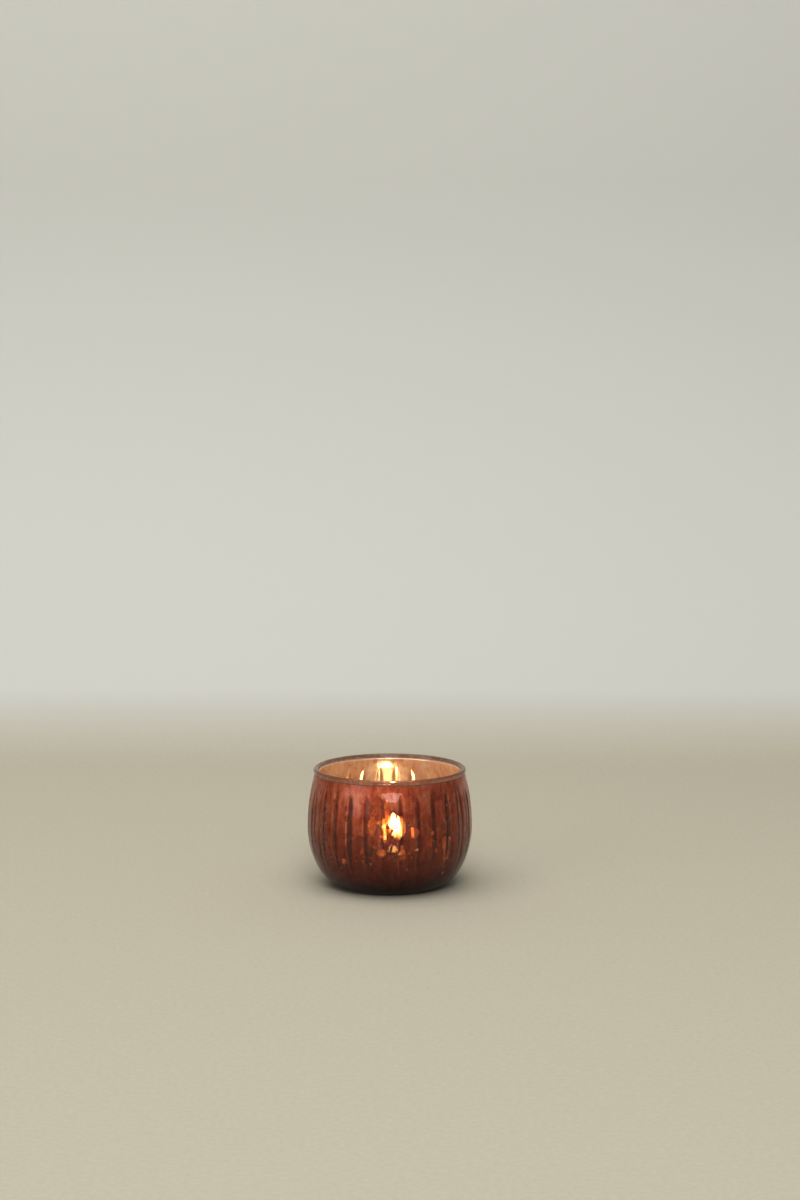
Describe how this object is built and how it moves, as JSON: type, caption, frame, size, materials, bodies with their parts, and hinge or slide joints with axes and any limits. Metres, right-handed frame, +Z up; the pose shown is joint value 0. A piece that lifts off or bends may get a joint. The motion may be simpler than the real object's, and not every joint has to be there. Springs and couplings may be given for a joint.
{
  "type": "tealight holder",
  "caption": "Squat round bowl of silvered glass with upright lens-shaped flutes, a rounded lip and a lift-out tealight.",
  "frame": {"origin": "centre of the foot, on the surface that the bowl stands on", "axes": "+Z up along the bowl's axis"},
  "size_m": [0.09, 0.09, 0.065],
  "materials": {
    "tinted_glass": "glossy, clear with a faint copper tint, stained copper along the lip",
    "silvering": "mottled mirror film, copper red seen from outside and gold from inside, with round bare spots",
    "cup_aluminium": "bright rolled sheet, pleated",
    "wax": "translucent satin paraffin, molten round the wick",
    "sustainer_tin": "tinned sheet",
    "wick_cotton": "braided cotton, waxed, charred at the tip",
    "flame": "glowing flame"
  },
  "bodies": {
    "holder": {"glass_bowl": "tinted_glass", "silvering": "silvering"},
    "tealight": {"tealight_cup": "cup_aluminium", "wax": "wax", "wick_sustainer": "sustainer_tin", "wick": "wick_cotton"}
  },
  "joints": [
    {"name": "tealight_lift", "type": "slide", "parent": "holder", "child": "tealight", "axis": [0, 0, 1], "range_m": [0, 0.075]}
  ]
}
